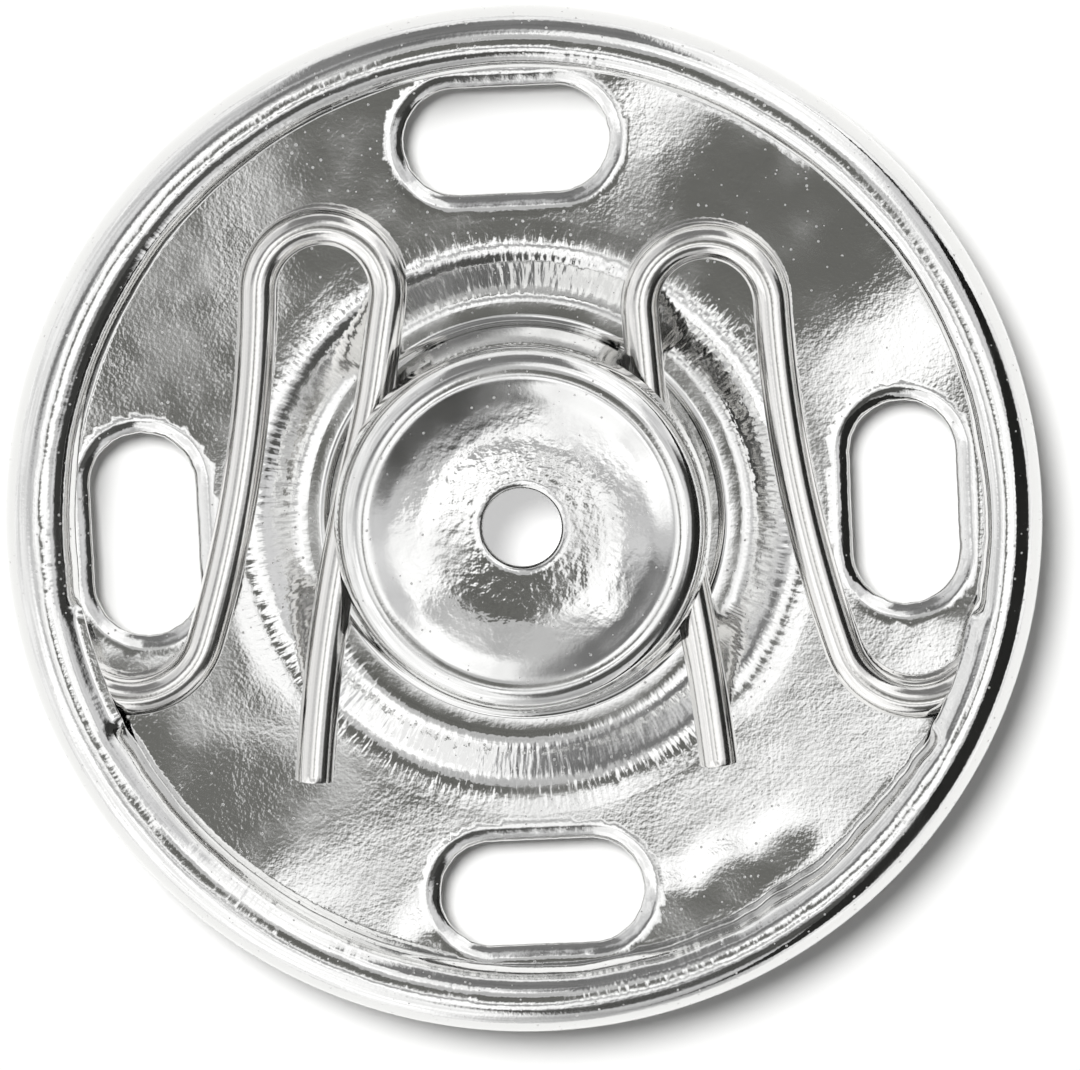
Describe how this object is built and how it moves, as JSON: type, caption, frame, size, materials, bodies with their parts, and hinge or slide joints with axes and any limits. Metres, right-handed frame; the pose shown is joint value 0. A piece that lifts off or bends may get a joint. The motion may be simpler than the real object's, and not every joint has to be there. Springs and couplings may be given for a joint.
{
  "type": "sew-on snap fastener socket",
  "caption": "Socket half of a sew-on snap: rolled disc of thin sheet with sewing slots, a windowed cup over its mouth and a wire spring that grips a ball stud.",
  "frame": {"origin": "centre of the mating face, on the cup's axis, where the part rests", "axes": "+Z along the cup's axis to the cloth side, +X and +Y through the sewing slots, with the spring's loops towards +Y"},
  "size_m": [0.021, 0.021, 0.0024],
  "materials": {
    "nickel_plated_sheet": "bright nickel plate on pressed brass sheet",
    "nickel_plated_wire": "bright nickel plate on drawn bronze wire"
  },
  "bodies": {
    "root": {"socket_plate": "nickel_plated_sheet", "spring_wire": "nickel_plated_wire"}
  },
  "joints": []
}
